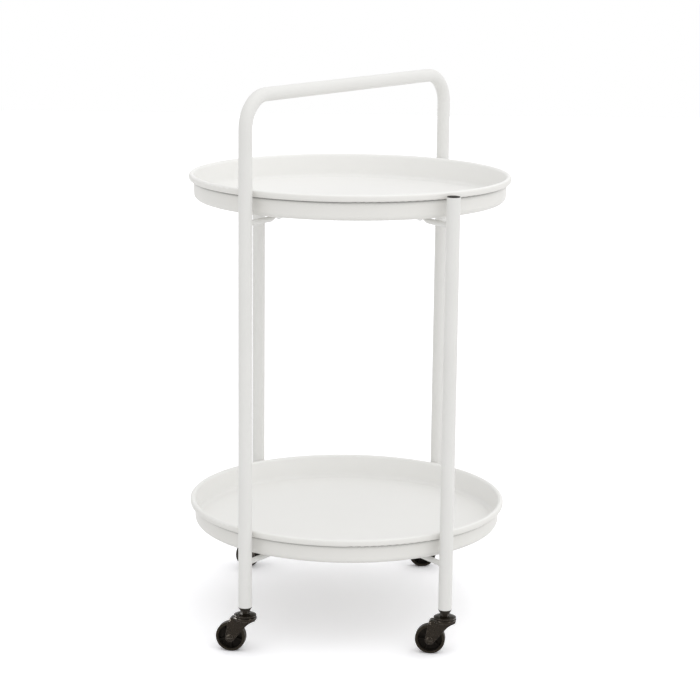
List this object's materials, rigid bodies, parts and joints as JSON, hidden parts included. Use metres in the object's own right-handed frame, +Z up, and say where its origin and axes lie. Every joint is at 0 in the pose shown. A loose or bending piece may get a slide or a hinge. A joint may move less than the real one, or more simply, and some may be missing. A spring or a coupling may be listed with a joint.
{
  "type": "serving cart",
  "caption": "Round two-tier serving cart: rolled-rim trays inside a white tube frame with a diagonal handle hoop, on small black swivel casters.",
  "frame": {"origin": "on the floor under the centre of the trays", "axes": "+Z up; -Y is the front that the picture shows; +X is to the right seen from the front"},
  "size_m": [0.46, 0.46, 0.784],
  "materials": {
    "frame_enamel": "smooth semi-gloss white enamel on steel tube and rod",
    "tray_enamel": "smooth semi-gloss white enamel on pressed sheet",
    "zinc_steel": "bright zinc plate",
    "plug_plastic": "moulded black plastic",
    "socket_plastic": "moulded dark grey plastic",
    "stem_steel": "blackened steel",
    "race_steel": "glossy blackened steel pressing",
    "ball_steel": "polished bearing steel",
    "fork_steel": "glossy blackened steel pressing",
    "axle_steel": "blackened steel",
    "wheel_plastic": "moulded black plastic with a worn sheen"
  },
  "bodies": {
    "frame": {"handle_hoop": "frame_enamel", "front_right_leg": "frame_enamel", "front_right_leg_plug": "plug_plastic", "back_left_leg": "frame_enamel", "back_left_leg_plug": "plug_plastic", "upper_tray": "tray_enamel", "upper_tray_studs": "zinc_steel", "upper_tray_washers": "zinc_steel", "upper_tray_nuts": "zinc_steel", "upper_arm_front_left": "frame_enamel", "upper_arm_front_right": "frame_enamel", "upper_arm_back_left": "frame_enamel", "upper_arm_back_right": "frame_enamel", "lower_tray": "tray_enamel", "lower_tray_studs": "zinc_steel", "lower_tray_washers": "zinc_steel", "lower_tray_nuts": "zinc_steel", "lower_arm_front_left": "frame_enamel", "lower_arm_front_right": "frame_enamel", "lower_arm_back_left": "frame_enamel", "lower_arm_back_right": "frame_enamel", "caster_socket_front_left": "socket_plastic", "caster_stem_front_left": "stem_steel", "caster_race_front_left": "race_steel", "caster_socket_front_right": "socket_plastic", "caster_stem_front_right": "stem_steel", "caster_race_front_right": "race_steel", "caster_socket_back_left": "socket_plastic", "caster_stem_back_left": "stem_steel", "caster_race_back_left": "race_steel", "caster_socket_back_right": "socket_plastic", "caster_stem_back_right": "stem_steel", "caster_race_back_right": "race_steel"},
    "swivel_front_left": {"caster_fork_front_left": "fork_steel", "caster_axle_front_left": "axle_steel", "caster_balls_front_left": "ball_steel"},
    "roll_front_left": {"caster_wheel_front_left": "wheel_plastic"},
    "swivel_front_right": {"caster_fork_front_right": "fork_steel", "caster_axle_front_right": "axle_steel", "caster_balls_front_right": "ball_steel"},
    "roll_front_right": {"caster_wheel_front_right": "wheel_plastic"},
    "swivel_back_left": {"caster_fork_back_left": "fork_steel", "caster_axle_back_left": "axle_steel", "caster_balls_back_left": "ball_steel"},
    "roll_back_left": {"caster_wheel_back_left": "wheel_plastic"},
    "swivel_back_right": {"caster_fork_back_right": "fork_steel", "caster_axle_back_right": "axle_steel", "caster_balls_back_right": "ball_steel"},
    "roll_back_right": {"caster_wheel_back_right": "wheel_plastic"}
  },
  "joints": [
    {"name": "swivel_front_left", "type": "hinge", "parent": "frame", "child": "swivel_front_left", "pos_m": [-0.13937, -0.19845, 0.05], "axis": [0, 0, 1], "continuous": true},
    {"name": "roll_front_left", "type": "hinge", "parent": "swivel_front_left", "child": "roll_front_left", "pos_m": [-0.15907, -0.19498, 0.021], "axis": [0.1736, 0.9848, 0], "continuous": true},
    {"name": "swivel_front_right", "type": "hinge", "parent": "frame", "child": "swivel_front_right", "pos_m": [0.13937, -0.19845, 0.05], "axis": [0, 0, 1], "continuous": true},
    {"name": "roll_front_right", "type": "hinge", "parent": "swivel_front_right", "child": "roll_front_right", "pos_m": [0.11952, -0.19601, 0.021], "axis": [0.1219, 0.9925, 0], "continuous": true},
    {"name": "swivel_back_left", "type": "hinge", "parent": "frame", "child": "swivel_back_left", "pos_m": [-0.13937, 0.19845, 0.05], "axis": [0, 0, 1], "continuous": true},
    {"name": "roll_back_left", "type": "hinge", "parent": "swivel_back_left", "child": "roll_back_left", "pos_m": [-0.15423, 0.18507, 0.021], "axis": [-0.6691, 0.7431, 0], "continuous": true},
    {"name": "swivel_back_right", "type": "hinge", "parent": "frame", "child": "swivel_back_right", "pos_m": [0.13937, 0.19845, 0.05], "axis": [0, 0, 1], "continuous": true},
    {"name": "roll_back_right", "type": "hinge", "parent": "swivel_back_right", "child": "roll_back_right", "pos_m": [0.11945, 0.19671, 0.021], "axis": [-0.0872, 0.9962, 0], "continuous": true}
  ]
}
